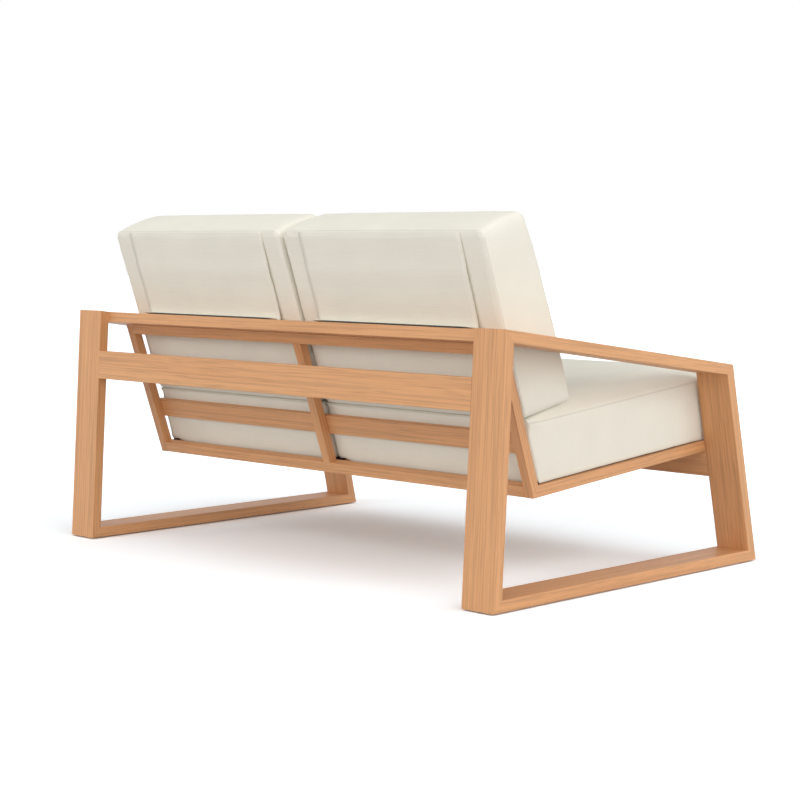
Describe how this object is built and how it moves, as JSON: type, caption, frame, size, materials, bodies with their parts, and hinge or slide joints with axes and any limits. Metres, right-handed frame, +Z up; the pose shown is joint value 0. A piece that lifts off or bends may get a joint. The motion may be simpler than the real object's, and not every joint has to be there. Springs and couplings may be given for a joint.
{
  "type": "patio loveseat",
  "caption": "Wooden lounge loveseat with sled side frames, sloping arms, a leaning slatted back and loose cushions on the seat and back",
  "frame": {"origin": "on the floor under the middle of the frame's outer box", "axes": "+Z up, the sitter faces -Y, +X is the sitter's left"},
  "size_m": [1.6, 1.015, 0.8968],
  "materials": {
    "oiled_wood": "oiled, satin",
    "cushion_fabric": "woven",
    "hook_and_loop": "woven, matt",
    "glide_plastic": "matt",
    "screw_steel": "plain"
  },
  "bodies": {
    "frame": {"angle_tenons": "oiled_wood", "back_slat_screws": "screw_steel", "bottom_rail": "oiled_wood", "centre_seat_hook_strip": "hook_and_loop", "centre_seat_rail": "oiled_wood", "centre_stile": "oiled_wood", "frame_dowels": "oiled_wood", "front_apron": "oiled_wood", "glide_screws": "screw_steel", "left_arm": "oiled_wood", "left_corner_tenons": "oiled_wood", "left_front_glide": "glide_plastic", "left_front_leg": "oiled_wood", "left_rear_glide": "glide_plastic", "left_rear_leg": "oiled_wood", "left_runner": "oiled_wood", "left_seat_hook_strip": "hook_and_loop", "left_seat_rail": "oiled_wood", "left_seat_slat_1": "oiled_wood", "left_seat_slat_2": "oiled_wood", "left_seat_slat_3": "oiled_wood", "left_seat_slat_4": "oiled_wood", "left_seat_slat_5": "oiled_wood", "left_stile": "oiled_wood", "left_top_rail_hook_strip": "hook_and_loop", "lower_back_slat": "oiled_wood", "mid_rail": "oiled_wood", "rail_tenons": "oiled_wood", "right_arm": "oiled_wood", "right_corner_tenons": "oiled_wood", "right_front_glide": "glide_plastic", "right_front_leg": "oiled_wood", "right_rear_glide": "glide_plastic", "right_rear_leg": "oiled_wood", "right_runner": "oiled_wood", "right_seat_hook_strip": "hook_and_loop", "right_seat_rail": "oiled_wood", "right_seat_slat_1": "oiled_wood", "right_seat_slat_2": "oiled_wood", "right_seat_slat_3": "oiled_wood", "right_seat_slat_4": "oiled_wood", "right_seat_slat_5": "oiled_wood", "right_stile": "oiled_wood", "right_top_rail_hook_strip": "hook_and_loop", "top_crossbar": "oiled_wood", "top_rail": "oiled_wood", "upper_back_slat": "oiled_wood"},
    "left_seat": {"left_seat_cushion": "cushion_fabric", "left_seat_loop_strips": "hook_and_loop"},
    "left_back": {"left_back_cushion": "cushion_fabric", "left_cushion_flap": "cushion_fabric", "left_flap_loop_strip": "hook_and_loop"},
    "right_seat": {"right_seat_cushion": "cushion_fabric", "right_seat_loop_strips": "hook_and_loop"},
    "right_back": {"right_back_cushion": "cushion_fabric", "right_cushion_flap": "cushion_fabric", "right_flap_loop_strip": "hook_and_loop"}
  },
  "joints": [
    {"name": "left_seat_cushion_out", "type": "slide", "parent": "frame", "child": "left_seat", "axis": [0, -0.9963, 0.0854], "range_m": [0, 0.76]},
    {"name": "right_seat_cushion_out", "type": "slide", "parent": "frame", "child": "right_seat", "axis": [0, -0.9963, 0.0854], "range_m": [0, 0.76]},
    {"name": "left_back_cushion_off", "type": "slide", "parent": "frame", "child": "left_back", "axis": [0, 0.3173, 0.9483], "range_m": [0, 0.5]},
    {"name": "right_back_cushion_off", "type": "slide", "parent": "frame", "child": "right_back", "axis": [0, 0.3173, 0.9483], "range_m": [0, 0.5]}
  ]
}
